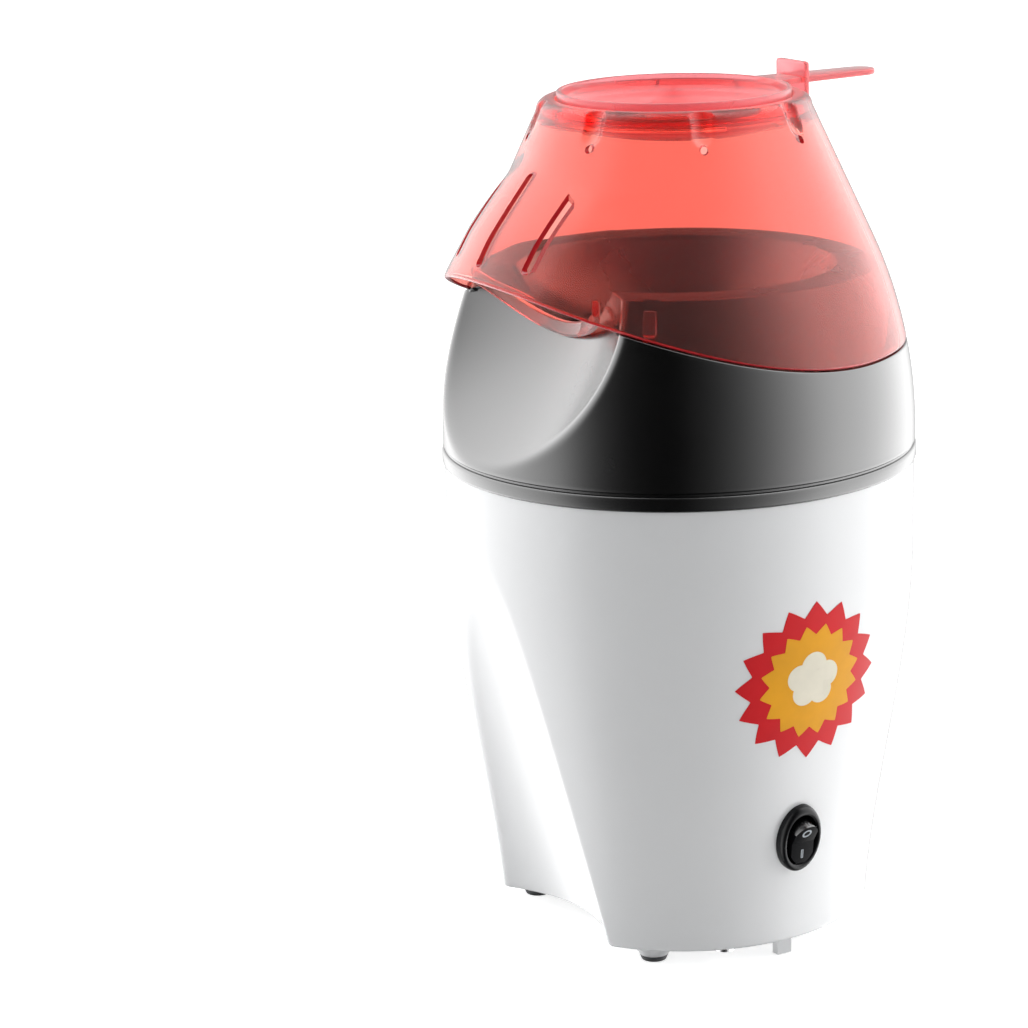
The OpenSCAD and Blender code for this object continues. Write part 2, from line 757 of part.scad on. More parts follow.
module measuring_cup() {
    t = 1.6;
    tip_r = 5.5;
    tip_y = handle_reach - tip_r;
    dish = [for (r = steps(0, bowl_r, 12)) [r, bowl_at(r)]];
    inside = [for (r = steps(bowl_r, 0, 12)) [r, bowl_at(r) + t]];
    rim = [[cup_r - 0.4, cup_rest_z + 0.2], [cup_r, cup_rim_z], [cup_r - t, cup_rim_z]];
    color([0.9, 0.15, 0.18, 0.6]) {
        rotate_extrude() polygon(concat(dish, rim, inside));
        translate([0, 0, cup_rim_z - 2]) linear_extrude(height = 2) polygon(concat(
            [[tip_r + 2, cup_r - 1.2], [tip_r, tip_y]],
            [for (a = [15:15:165]) [tip_r * cos(a), tip_y + tip_r * sin(a)]],
            [[-tip_r, tip_y], [-tip_r - 2, cup_r - 1.2]]));
        // thumb plate standing across the handle
        translate([-8.3, 47.2, 279.4]) cube([16.6, 2, 12.4]);
    }
}

lower_housing();
base_plate();
foot_pads();
cord_grommet();
base_screws();
chute_housing();
popping_chamber();
chamber_seal();
heat_shield();
shield_screws();
heater_coil();
heater_frame();
thermostat();
thermal_fuse();
fan_housing();
fan_screws();
motor_can();
motor_endcap();
motor_bushes();
motor_magnets();
motor_screws();
rectifier_board();
rectifier_diodes();
switch_body();
switch_terminals();
lead_wires();
badge();
switch_rocker();
fan_impeller();
motor_shaft();
motor_armature();
lid();
measuring_cup();
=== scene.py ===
"""Finished look of the hot-air popcorn maker: outer shells, materials, floor, light and camera.

Everything is in the part's own frame. Shapes are worked out in millimetres and written in metres.
The chute faces -Y, the switch and the badge +X, the cup's handle +Y.
"""

import json
from math import cos, pi, radians, sin, tan

import bmesh
import bpy
import numpy as np
from mathutils import Matrix, Vector


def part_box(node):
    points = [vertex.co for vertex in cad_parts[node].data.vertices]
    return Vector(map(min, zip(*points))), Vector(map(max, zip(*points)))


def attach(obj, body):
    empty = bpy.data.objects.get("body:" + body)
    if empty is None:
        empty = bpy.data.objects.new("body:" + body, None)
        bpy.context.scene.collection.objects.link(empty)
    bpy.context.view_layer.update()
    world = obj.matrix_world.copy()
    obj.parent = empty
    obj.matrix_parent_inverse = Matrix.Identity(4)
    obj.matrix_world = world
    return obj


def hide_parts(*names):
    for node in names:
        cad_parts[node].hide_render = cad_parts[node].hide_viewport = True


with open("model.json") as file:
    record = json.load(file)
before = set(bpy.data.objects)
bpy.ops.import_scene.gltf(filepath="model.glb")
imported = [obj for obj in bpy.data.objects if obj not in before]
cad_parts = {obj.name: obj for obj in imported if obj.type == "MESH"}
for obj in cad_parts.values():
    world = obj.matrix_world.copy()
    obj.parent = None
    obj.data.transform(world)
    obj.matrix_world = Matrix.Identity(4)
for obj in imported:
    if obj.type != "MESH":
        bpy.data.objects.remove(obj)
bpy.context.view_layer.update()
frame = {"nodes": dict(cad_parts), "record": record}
MM = 0.001


def box_mm(node):
    lo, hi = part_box(node)
    return [c / MM for c in lo], [c / MM for c in hi]


# ------------------------------------------------------------ the part's own curves, in mm

BODY_Z0, FLANGE_Z = box_mm("lower_housing")[0][2], box_mm("lower_housing")[1][2]
FLANGE_R, COLLAR_Z = box_mm("chute_housing")[1][0], box_mm("chute_housing")[1][2]
LID_TOP = box_mm("lid")[1][2]
HANDLE_Y, CUP_TOP = box_mm("measuring_cup")[1][1], box_mm("measuring_cup")[1][2]
FLANGE_TOP = FLANGE_Z + 6
SHOULDER_ROUND = 3.6
SHOULDER_Z = LID_TOP - SHOULDER_ROUND
FOOT_R, BODY_R, BODY_FULL, BODY_SLOPE, BODY_WALL = 63.3, 79.5, 135, 0.07, 2.5
CONE_R, CONE_Z0, CONE_Z1, CONE_ARC = 79.9, 172, 237, 156
LEAN = np.arcsin((CONE_Z1 - CONE_Z0) / CONE_ARC)
FUNNEL_R, FUNNEL_TOP_R, FUNNEL_Z, FLARE_Z = 41.2, 54, 189.2, 203
LID_REAR_Z, LID_SWEEP_R, LID_SWEEP_Y, LID_WALL, LID_GAP = 201.5, 225, 30, 2.0, 0.4
COLLAR_INSET = LID_WALL + LID_GAP
RECESS_R, RECESS_Y, RECESS_LEAN, RECESS_EDGE = 60, 45, radians(16.5), 2.2
SWITCH_Z, SWITCH_LEAN, BADGE_Z, CORD_Z = 44.5, 9, 101, 21
TAB_PHI, TAB_Z = 49.4, 217.0


def body_at(z):
    """Outer radius of the white body."""
    h = BODY_FULL - BODY_Z0
    t = np.clip((np.asarray(z, float) - BODY_Z0) / h, 0, 1)
    return FOOT_R + (BODY_R - FOOT_R) * (3 * t**2 - 2 * t**3) + BODY_SLOPE * h * (t**3 - 2 * t**2 + t)


def cone_at(z):
    """Outer radius of the black housing and of the lid above it."""
    z = np.asarray(z, float)
    up = np.clip(z - CONE_Z0, 0, CONE_Z1 - CONE_Z0)
    return CONE_R - CONE_ARC + np.sqrt(CONE_ARC**2 - up**2) - np.clip(z - CONE_Z1, 0, None) * tan(LEAN)


def funnel_at(z):
    """Inner radius of the housing's funnel."""
    t = np.clip((np.asarray(z, float) - FLARE_Z) / (COLLAR_Z - FLARE_Z), 0, 1)
    return FUNNEL_R + (FUNNEL_TOP_R - FUNNEL_R) * t**1.3


def lid_edge_at(y):
    """Height of the lid's lower edge, which sweeps up towards the front."""
    run = np.clip(LID_SWEEP_Y - np.asarray(y, float), 0, 200)
    return LID_REAR_Z + LID_SWEEP_R - np.sqrt(LID_SWEEP_R**2 - run**2)


def smin(a, b, k):
    """The lower of a and b, rounded over a width of about k where they meet."""
    h = np.clip(0.5 + 0.5 * (b - a) / k, 0, 1)
    return b + (a - b) * h - k * h * (1 - h)


def smax(a, b, k):
    """The higher of a and b, rounded in the same way."""
    return -smin(-a, -b, k)


# ------------------------------------------------------------------------- mesh helpers

def shade(mesh, angle):
    """Smooth shading, but for edges sharper than angle, in degrees."""
    mesh.shade_smooth()
    mesh.set_sharp_from_angle(angle=radians(angle))


def put(name, verts, faces, body, slot, material, replaces=(), smooth=35):
    """A mesh object in metres that rides on a body. smooth is the sharpest angle shaded smooth."""
    me = bpy.data.meshes.new(name)
    if isinstance(faces, np.ndarray):
        faces = faces.tolist()
    me.from_pydata((np.asarray(verts, float) * MM).tolist(), [], faces)
    me.validate()
    ob = bpy.data.objects.new(name, me)
    bpy.context.scene.collection.objects.link(ob)
    bm = bmesh.new()
    bm.from_mesh(me)
    bmesh.ops.recalc_face_normals(bm, faces=bm.faces)
    bm.to_mesh(me)
    bm.free()
    shade(me, smooth)
    me.materials.append(material)
    if body:
        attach(ob, body)
        if replaces:
            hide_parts(*replaces)
    return ob


def grid_faces(n, m, close_rows, close_cols=True):
    """Faces of a grid of n rows and m columns, joined round either way."""
    i, j = np.meshgrid(np.arange(n if close_rows else n - 1), np.arange(m if close_cols else m - 1),
                       indexing="ij")
    a, b = (i + 1) % n, (j + 1) % m
    return np.stack([i * m + j, i * m + b, a * m + b, a * m + j], -1).reshape(-1, 4)


def polar(phi, r, z):
    """Points at angle phi (degrees, 0 at -Y, towards +X), radius r, height z."""
    phi, r, z = np.broadcast_arrays(np.radians(phi), r, z)
    return np.stack([r * np.sin(phi), -r * np.cos(phi), z], -1)


def revolve(name, profile, body, slot, material, cols=128, place=None, **kw):
    """A closed (r, z) profile turned about Z, or about the local Z of the matrix place."""
    r, z = np.array(profile, float).T
    phi = np.arange(cols) * 360 / cols
    verts = polar(phi[None, :], r[:, None], z[:, None]).reshape(-1, 3)
    if place is not None:
        verts = np.array([place @ Vector(v) for v in verts])
    return put(name, verts, grid_faces(len(r), cols, True), body, slot, material, **kw)


def prism(name, outline, low, high, body, slot, material, place=None, **kw):
    """A closed outline in local x, y, from low to high in local z."""
    n = len(outline)
    verts = [Vector((x, y, z)) for z in (low, high) for x, y in outline]
    if place is not None:
        verts = [place @ v for v in verts]
    faces = [list(range(n))[::-1], list(range(n, 2 * n))]
    faces += [[i, (i + 1) % n, n + (i + 1) % n, n + i] for i in range(n)]
    return put(name, [tuple(v) for v in verts], faces, body, slot, material, **kw)


def modify(ob, kind, **values):
    m = ob.modifiers.new(kind.lower(), kind)
    for key, value in values.items():
        setattr(m, key, value)


def apply_all(ob):
    """Makes the modifiers' result the object's own mesh."""
    bpy.context.view_layer.update()
    me = bpy.data.meshes.new_from_object(ob.evaluated_get(bpy.context.evaluated_depsgraph_get()))
    ob.modifiers.clear()
    old, ob.data = ob.data, me
    me.name = old.name + "_made"
    bpy.data.meshes.remove(old)


def cut(ob, *tools, keep="DIFFERENCE"):
    """Cuts (or joins, or keeps what is shared) with each tool, which is then gone."""
    for t in tools:
        modify(ob, "BOOLEAN", operation=keep, object=t, solver="EXACT")
    apply_all(ob)
    for t in tools:
        bpy.data.objects.remove(t)


def tool(outline, low, high, place=None):
    """A prism to cut with."""
    return prism("cutter", outline, low, high, None, None, None, place=place)


def circle(r, n=48, x=0):
    return [(x + r * cos(2 * pi * i / n), r * sin(2 * pi * i / n)) for i in range(n)]


def rect(x0, y0, x1, y1):
    return [(x0, y0), (x1, y0), (x1, y1), (x0, y1)]


def rounded(points, radius, n=5):
    """A closed outline with each corner turned into an arc of that radius."""
    out = []
    for i, p in enumerate(points):
        p, a, b = Vector(p), Vector(points[i - 1]), Vector(points[(i + 1) % len(points)])
        u, v = (a - p).normalized(), (b - p).normalized()
        half = u.angle(v) / 2
        reach = min(radius / tan(half), 0.49 * (a - p).length, 0.49 * (b - p).length)
        s, e = p + u * reach, p + v * reach
        for k in range(n + 1):
            t = k / n
            out.append(tuple((1 - t) ** 2 * s + 2 * t * (1 - t) * p + t * t * e))
    return out


def lean_y(angle):
    return Matrix.Rotation(radians(angle), 4, "Y")


# --------------------------------------------------------------------------- materials

def nodes_of(name):
    """A new material, its node tree and its surface shader."""
    m = bpy.data.materials.new(name)
    m.use_nodes = True
    t = m.node_tree
    return m, t, t.nodes["Principled BSDF"]


def add(t, kind, **inputs):
    """A new node of a tree with values on its inputs."""
    n = t.nodes.new(kind)
    for key, value in inputs.items():
        n.inputs[key.replace("_", " ")].default_value = value
    return n


def map_range(t, low, high, to_low, to_high):
    """A node that maps low..high to to_low..to_high."""
    return add(t, "ShaderNodeMapRange", From_Min=low, From_Max=high, To_Min=to_low, To_Max=to_high)


def math_node(t, operation, first, second):
    """A node that works on a socket and on another socket or a number."""
    n = t.nodes.new("ShaderNodeMath")
    n.operation = operation
    t.links.new(first, n.inputs[0])
    if isinstance(second, float):
        n.inputs[1].default_value = second
    else:
        t.links.new(second, n.inputs[1])
    return n


def finish_of(name, color, rough, spread=0.05, tone=0.06, scale=60, bump=0.02, fine=900, metallic=0.0,
              coat=0.0, coat_rough=0.03, specular=0.5, stretch=(1, 1, 1)):
    """A moulded or metal surface: colour that drifts, roughness that varies and a fine grain."""
    m, t, p = nodes_of(name)
    where = add(t, "ShaderNodeTexCoord")
    map_ = add(t, "ShaderNodeMapping")
    map_.inputs["Scale"].default_value = stretch
    t.links.new(where.outputs["Object"], map_.inputs["Vector"])
    slow = add(t, "ShaderNodeTexNoise", Scale=scale, Detail=4.0, Roughness=0.55)
    grain = add(t, "ShaderNodeTexNoise", Scale=fine, Detail=3.0, Roughness=0.6)
    for n in (slow, grain):
        t.links.new(map_.outputs["Vector"], n.inputs["Vector"])
    ramp = add(t, "ShaderNodeValToRGB")
    dark = [c * (1 - tone) for c in color]
    light = [min(1, c * (1 + tone)) for c in color]
    ramp.color_ramp.elements[0].color = (*dark, 1)
    ramp.color_ramp.elements[0].position = 0.3
    ramp.color_ramp.elements[1].color = (*light, 1)
    ramp.color_ramp.elements[1].position = 0.7
    t.links.new(slow.outputs["Fac"], ramp.inputs["Fac"])
    t.links.new(ramp.outputs["Color"], p.inputs["Base Color"])
    r = map_range(t, 0.3, 0.7, max(0.0, rough - spread), min(1, rough + spread))
    t.links.new(slow.outputs["Fac"], r.inputs["Value"])
    t.links.new(r.outputs["Result"], p.inputs["Roughness"])
    b = add(t, "ShaderNodeBump", Strength=bump, Distance=0.2 * MM)
    t.links.new(grain.outputs["Fac"], b.inputs["Height"])
    t.links.new(b.outputs["Normal"], p.inputs["Normal"])
    p.inputs["Metallic"].default_value = metallic
    p.inputs["Specular IOR Level"].default_value = specular
    if coat:
        p.inputs["Coat Weight"].default_value = coat
        p.inputs["Coat Roughness"].default_value = coat_rough
    return m


def clear_plastic(name, tint, deep, density, rough=0.03, clear_share=0.985, ior=1.34):
    """Tinted see-through plastic: deeper where it is thicker, pale at its sides, with light shadows."""
    m, t, p = nodes_of(name)
    out = t.nodes["Material Output"]
    p.inputs["Transmission Weight"].default_value = clear_share
    inside = add(t, "ShaderNodeVolumeAbsorption", Color=(0.98, 0.17, 0.02, 1), Density=density)
    t.links.new(inside.outputs["Volume"], out.inputs["Volume"])
    p.inputs["IOR"].default_value = ior
    p.inputs["Sheen Weight"].default_value = 0.6
    p.inputs["Sheen Roughness"].default_value = 0.5
    where = add(t, "ShaderNodeTexCoord")
    slow = add(t, "ShaderNodeTexNoise", Scale=45.0, Detail=3.0)
    t.links.new(where.outputs["Object"], slow.inputs["Vector"])
    ramp = add(t, "ShaderNodeValToRGB")
    ramp.color_ramp.elements[0].color = (*[c * 0.97 for c in tint], 1)
    ramp.color_ramp.elements[1].color = (*tint, 1)
    t.links.new(slow.outputs["Fac"], ramp.inputs["Fac"])
    t.links.new(ramp.outputs["Color"], p.inputs["Base Color"])
    r = map_range(t, 0.0, 1.0, max(0.0, rough - 0.02), rough + 0.02)
    t.links.new(slow.outputs["Fac"], r.inputs["Value"])
    t.links.new(r.outputs["Result"], p.inputs["Roughness"])
    shadow = add(t, "ShaderNodeLightPath")
    clear = add(t, "ShaderNodeBsdfTransparent", Color=(*deep, 1))
    mix = add(t, "ShaderNodeMixShader")
    t.links.new(shadow.outputs["Is Shadow Ray"], mix.inputs[0])
    t.links.new(p.outputs["BSDF"], mix.inputs[1])
    t.links.new(clear.outputs["BSDF"], mix.inputs[2])
    t.links.new(mix.outputs["Shader"], out.inputs["Surface"])
    return m


WHITE = finish_of("white_gloss", (0.80, 0.81, 0.82), 0.22, spread=0.04, tone=0.012, scale=18, bump=0.015,
                  fine=700, coat=0.35)
WHITE_BASE = finish_of("white_matt", (0.74, 0.75, 0.76), 0.42, spread=0.06, tone=0.02, scale=40,
                       bump=0.05, fine=1400)
BLACK = finish_of("black_gloss", (0.0035, 0.0035, 0.0038), 0.26, spread=0.03, tone=0.2, scale=22,
                  bump=0.008, fine=600, coat=0.6, coat_rough=0.2, specular=0.9)
SWITCH = finish_of("switch_gloss", (0.006, 0.006, 0.007), 0.2, spread=0.05, tone=0.2, scale=120,
                   bump=0.02, fine=1500, specular=0.04)
BEZEL = finish_of("bezel_gloss", (0.006, 0.006, 0.007), 0.24, spread=0.05, tone=0.2, scale=120, bump=0.02,
                  fine=1500, specular=0.25)
RUBBER = finish_of("foot_rubber", (0.045, 0.047, 0.05), 0.72, spread=0.08, tone=0.15, scale=150,
                   bump=0.25, fine=2400)
TRIM = finish_of("black_trim", (0.018, 0.018, 0.02), 0.38, spread=0.06, tone=0.15, scale=120, bump=0.1,
                 fine=1800)
STEEL = finish_of("screw_steel", (0.62, 0.62, 0.63), 0.32, spread=0.1, tone=0.08, scale=400, bump=0.08,
                  fine=4000, metallic=1.0)
CHAMBER = finish_of("spun_aluminium", (0.78, 0.78, 0.79), 0.34, spread=0.08, tone=0.05, scale=30,
                    bump=0.12, fine=500, metallic=1.0, stretch=(1, 1, 9))
SEAL = finish_of("silicone_seal", (0.42, 0.05, 0.03), 0.55, spread=0.06, tone=0.1, scale=90, bump=0.1,
                 fine=1500)
SHIELD = finish_of("galvanised_sheet", (0.55, 0.56, 0.57), 0.42, spread=0.14, tone=0.16, scale=130,
                   bump=0.06, fine=900, metallic=1.0)
WIRE = finish_of("heater_wire", (0.33, 0.30, 0.28), 0.45, spread=0.1, tone=0.2, scale=500, bump=0.1,
                 fine=3000, metallic=1.0)
MICA = finish_of("mica", (0.52, 0.42, 0.27), 0.4, spread=0.15, tone=0.25, scale=160, bump=0.15, fine=900)
BRASS = finish_of("brass", (0.72, 0.5, 0.2), 0.3, spread=0.1, tone=0.12, scale=300, bump=0.05, fine=2500,
                  metallic=1.0)
FAN = finish_of("fan_plastic", (0.62, 0.58, 0.48), 0.5, spread=0.08, tone=0.06, scale=80, bump=0.08,
                fine=1500)
MOTOR = finish_of("motor_steel", (0.5, 0.5, 0.52), 0.34, spread=0.1, tone=0.1, scale=60, bump=0.05,
                  fine=1200, metallic=1.0, stretch=(1, 1, 6))
MAGNET = finish_of("ferrite", (0.05, 0.05, 0.055), 0.62, spread=0.1, tone=0.2, scale=200, bump=0.2,
                   fine=2500)
BOARD = finish_of("circuit_board", (0.03, 0.16, 0.06), 0.4, spread=0.08, tone=0.2, scale=300, bump=0.05,
                  fine=1800)
SLEEVE = finish_of("wire_sleeve", (0.36, 0.03, 0.03), 0.5, spread=0.08, tone=0.12, scale=150, bump=0.2,
                   fine=3000)
PRINT_RED = finish_of("print_red", (0.66, 0.008, 0.014), 0.35, spread=0.05, tone=0.05, scale=60,
                      bump=0.02, fine=1500, specular=0.2)
PRINT_AMBER = finish_of("print_amber", (0.84, 0.38, 0.015), 0.35, spread=0.05, tone=0.08, scale=60,
                        bump=0.02, fine=1500, specular=0.2)
PRINT_CREAM = finish_of("print_cream", (0.85, 0.80, 0.66), 0.3, spread=0.05, tone=0.06, scale=90,
                        bump=0.02, fine=1500, specular=0.25)
MARK = finish_of("mark_grey", (0.42, 0.46, 0.50), 0.4, spread=0.05, tone=0.05, scale=200, bump=0.02,
                 fine=1500)
RED = clear_plastic("clear_red", (0.93, 0.57, 0.53), (0.98, 0.8, 0.77), 300)
RED_CUP = clear_plastic("clear_red_cup", (0.97, 0.38, 0.42), (0.98, 0.7, 0.7), 90, rough=0.1,
                        clear_share=0.72, ior=1.3)
# painted shade: an opaque deeper red that stands in for the darker look of the clear red plastic at its
# edges and hole walls
RED_PAINTED_SHADE = finish_of("red_edge_painted_shade", (0.52, 0.02, 0.03), 0.2, spread=0.04, tone=0.08, scale=60, bump=0.01,
                     fine=900, coat=0.5)

by_slot = {"white_shell": WHITE, "white_base": WHITE_BASE, "rubber_feet": RUBBER, "black_trim": TRIM,
           "steel_screws": STEEL, "black_housing": BLACK, "chamber_metal": CHAMBER, "seal_rubber": SEAL,
           "shield_steel": SHIELD, "heater_wire": WIRE, "mica": MICA, "brass_parts": BRASS,
           "fan_plastic": FAN, "motor_steel": MOTOR, "magnet": MAGNET, "circuit_board": BOARD,
           "switch_black": SWITCH, "wire_sleeve": SLEEVE, "badge_print": PRINT_RED, "red_clear": RED}
for entry in frame["record"]["subparts"]:
    ob = frame["nodes"][entry["node"]]
    ob.data.materials.clear()
    ob.data.materials.append(by_slot[entry["material_slot"]])
    shade(ob.data, 30)

# ------------------------------------------------------------------------- lower body

def recess_at(phi, z, grow):
    """Radius at which a ray from the axis meets the hollow in front."""
    s, c = np.sin(np.radians(phi)), np.cos(np.radians(phi))
    k0 = (RECESS_Y + RECESS_R) * cos(RECESS_LEAN) + (z - BODY_Z0) * sin(RECESS_LEAN)
    a = s**2 + c**2 * cos(RECESS_LEAN) ** 2
    b = k0 * c * cos(RECESS_LEAN)
    d = b**2 - a * (k0**2 - (RECESS_R + grow) ** 2)
    return np.where((d > 0) & (c > 0), (b - np.sqrt(np.clip(d, 0, None))) / a, 300.0)


def body_rows(phi, zs, inset, grow=0):
    """Rows of points round the body; inset moves the side inward and grow widens the hollow."""
    zs, phi = np.asarray(zs, float)[:, None], phi[None, :]
    r = smin(body_at(zs) - inset + 0 * phi, recess_at(phi, zs, grow), RECESS_EDGE)
    return polar(phi, r, zs)


# the rounded lower edge, the outside up to the flange, and the inside back down
LIP = 1.7
front = np.arange(-42, 42.01, 0.4)
phi = np.concatenate([front, np.arange(44, 317, 2.0)])
lip = []
for a in np.radians(np.arange(0, 91, 18)):
    inset = LIP * (1 - sin(a))
    lip.append(body_rows(phi, [BODY_Z0 + LIP * (1 - cos(a))], inset, inset))
outer = body_rows(phi, np.linspace(BODY_Z0 + LIP, FLANGE_Z, 116)[1:], 0)
inner = body_rows(phi, np.linspace(FLANGE_Z, BODY_Z0, 24), BODY_WALL, BODY_WALL)
rows = np.concatenate([*lip, outer, inner])
shell = put("body_shell", rows.reshape(-1, 3), grid_faces(len(rows), len(phi), True),
            "base", "white_shell", WHITE, replaces=["lower_housing"], smooth=50)

# the switch's local X points down the body's side, its local Z outward
SWITCH_HOLE_R, SWITCH_SEAT_R, GROMMET_R = 10.25, 12.05, 5.2
AT_SWITCH = Matrix.Translation((float(body_at(SWITCH_Z)), 0, SWITCH_Z)) @ lean_y(90 + SWITCH_LEAN)
OVAL = Matrix.Diagonal((1, 0.68, 1, 1))
GROMMET = Matrix.Translation((0, float(body_at(CORD_Z)), CORD_Z)) @ Matrix.Rotation(radians(-90), 4, "X")
cut(shell, tool(circle(SWITCH_HOLE_R, 64), -8, 8, AT_SWITCH @ OVAL),
    tool(circle(SWITCH_SEAT_R, 96), -1.3, 8, AT_SWITCH @ OVAL),
    tool(circle(GROMMET_R), -8, 8, GROMMET))
shade(shell.data, 50)

# ---------------------------------------------------------------------- upper housing

CHUTE_Y, CHUTE_BOW, CHUTE_HALF, CHUTE_LEAN = 43.4, 9.9, 45, 0.102
SLOPE, FLOOR_BOW, FLOOR_HALF = radians(40.3), 21.3, 60
FLOOR_Y, FLOOR_Z = 64.5 + FLOOR_BOW * sin(SLOPE), 183.1 + FLOOR_BOW * cos(SLOPE)
SCOOP = 26.0      # width over which the chute's wall and floor run into each other
CHUTE_EDGE = 2.6  # width of the rounding where the chute leaves the housing's side


def chute_at(x, z):
    """How far in front of the axis (towards -Y) the chute's surface is."""
    wall = CHUTE_Y + CHUTE_BOW * (np.abs(x) / CHUTE_HALF) ** 1.87 - CHUTE_LEAN * (z - 200)
    sag = FLOOR_BOW * np.sqrt(np.clip(1 - (x / FLOOR_HALF) ** 2, 0, 1))
    floor = FLOOR_Y - ((z - FLOOR_Z) * cos(SLOPE) + sag) / sin(SLOPE)
    return smax(wall, floor, SCOOP)


def signed(phi):
    """Angles brought between -180 and 180 degrees."""
    return (phi + 180) % 360 - 180


def housing_point(phi, z, inset):
    """A point of the housing's outside at angle phi and height z, with the chute taken out of it."""
    phi, z = np.broadcast_arrays(phi, z)
    r = cone_at(z) - inset
    x, y = r * np.sin(np.radians(phi)), r * np.cos(np.radians(phi))
    y = np.where(np.abs(signed(phi)) < 60, smin(y, chute_at(x, z), CHUTE_EDGE), y)
    return np.stack([x, -y, z], -1)


def follow_edge(phi, radius, lift=0.0):
    """Height at each angle where a wall of radius(z) meets the lid's edge, raised by lift."""
    z = np.full(len(phi), 215.0)
    for _ in range(12):
        z = lid_edge_at(-radius(z) * np.cos(np.radians(phi))) + lift
    return z


# columns are close together in front and at the edges of the keyways for the lid's tabs
keyway = TAB_PHI + np.array([-2.12, -1.96, 1.96, 2.12])
front = np.concatenate([np.arange(0, 47.2, 0.5), keyway, np.arange(49, 50.5, 0.5), np.arange(52, 60, 1.0)])
front = np.unique(np.round(front, 3))
phi = np.concatenate([-front[:0:-1], front, np.arange(60, 301, 2.0)])
wrapped = signed(phi)
LEDGE_TOP = 223
edge_z = np.minimum(follow_edge(phi, cone_at), LEDGE_TOP)

# flange, with the groove above it: how far inside the flange's radius, how far above its underside
FLANGE_EDGE = ((3.1, 0), (1.1, 0), (0.55, 0.15), (0.15, 0.55), (0, 1.1), (0, 2.5), (0, 3.9), (0.15, 4.5),
               (0.5, 4.87), (0.9, 5), (1.05, 5.05), (1.15, 5.15), (1.2, 5.5), (1.15, 5.85), (1.0, 5.95))
rows = [polar(phi, FLANGE_R - inset, FLANGE_Z + up) for inset, up in FLANGE_EDGE]
for up, inset in ((0.0, 0.45), (0.15, 0.15), (0.45, 0.0)):
    rows.append(housing_point(phi, FLANGE_TOP + up, inset))
for t in np.linspace(0, 1, 44)[1:]:
    rows.append(housing_point(phi, FLANGE_TOP + 0.45 + t * (edge_z - 0.5 - FLANGE_TOP - 0.45), 0))
for up, inset in ((-0.22, 0.06), (-0.05, 0.3), (0.0, 0.6), (0.03, 1.5), (0.08, 2.25), (0.2, 2.38),
                  (0.5, COLLAR_INSET)):
    rows.append(housing_point(phi, edge_z + up, inset))

# the collar's top is level, except in front, where the funnel opens into the chute
ROUND, COLLAR_WALL = 0.6, 1.7
KEYWAY_Z, KEYWAY_DEPTH = TAB_Z - 0.6, 2.6
COLLAR_ROWS = 21
heights = np.arange(204, COLLAR_Z + 0.01, 0.1)
probe = housing_point(phi[None, :], heights[:, None], COLLAR_INSET)
room = np.hypot(probe[..., 0], probe[..., 1]) - funnel_at(heights)[:, None] - COLLAR_WALL
top_z = []
for column in room.T:
    first = int(np.argmax(column < 0))
    top_z.append(heights[-1] if (column > 0).all() else heights[max(0, first - 1)])
top_z = np.array(top_z)
wall_top = top_z - ROUND
start = np.minimum(edge_z + 0.5, top_z - 1.5)
keyed = np.abs(np.abs(wrapped) - TAB_PHI) < 2.0
for t in np.linspace(0, 1, COLLAR_ROWS + 1)[1:]:
    z = start + t * (wall_top - start)
    rows.append(housing_point(phi, z, COLLAR_INSET + np.where(keyed & (z > KEYWAY_Z), KEYWAY_DEPTH, 0)))
# columns in front end lower than the lid's edge would, so their earlier rows fold down to fit
for i in range(len(rows) - COLLAR_ROWS):
    over = rows[i][:, 2] > wall_top
    z = np.where(over, wall_top - 0.01 * (len(rows) - i), rows[i][:, 2])
    rows[i] = np.where(over[:, None], housing_point(phi, z, COLLAR_INSET), rows[i])

# the funnel's columns stand where the collar's end, but in front they never turn back on themselves
last = rows[-1]
angle = np.degrees(np.arctan2(last[:, 0], -last[:, 1]))
centre = int(np.argmin(np.abs(wrapped)))
angle_in = angle.copy()
for side in (1, -1):
    best = 0.0
    for step in range(len(phi) // 2):
        j = (centre + side * step) % len(phi)
        best = max(best, side * angle[j]) if abs(wrapped[j]) < 60 else side * angle[j]
        angle_in[j] = side * best
ends = polar(angle_in, funnel_at(wall_top), wall_top)
length = np.linalg.norm(ends - last, axis=1)


def top_row(share, lift):
    """A row across the collar's top, at a share of the way from its outside to the funnel."""
    row = last + (ends - last) * np.broadcast_to(share, len(phi))[:, None]
    row[:, 2] = last[:, 2] + lift
    return row


def corner_lift(d):
    return ROUND * np.sqrt(max(0.0, 1 - (1 - d / ROUND) ** 2))


CORNER = (0.04, 0.15, 0.35, ROUND)
rows += [top_row(d / length, corner_lift(d)) for d in CORNER]
rows.append(top_row(0.5, ROUND))
rows += [top_row(1 - d / length, corner_lift(d)) for d in (*CORNER[::-1], 0.0)]
for t in np.linspace(0, 1, 24)[1:]:
    z = wall_top + t * (FUNNEL_Z - wall_top)
    rows.append(polar(angle_in, funnel_at(z), z))
rows = np.array(rows)
housing = put("chute_shell", rows.reshape(-1, 3), grid_faces(len(rows), len(phi), False),
              "base", "black_housing", BLACK, replaces=["chute_housing"], smooth=60)
modify(housing, "SOLIDIFY", thickness=1.2 * MM, offset=-1.0, use_even_offset=False)

# --------------------------------------------------------------------------------- lid

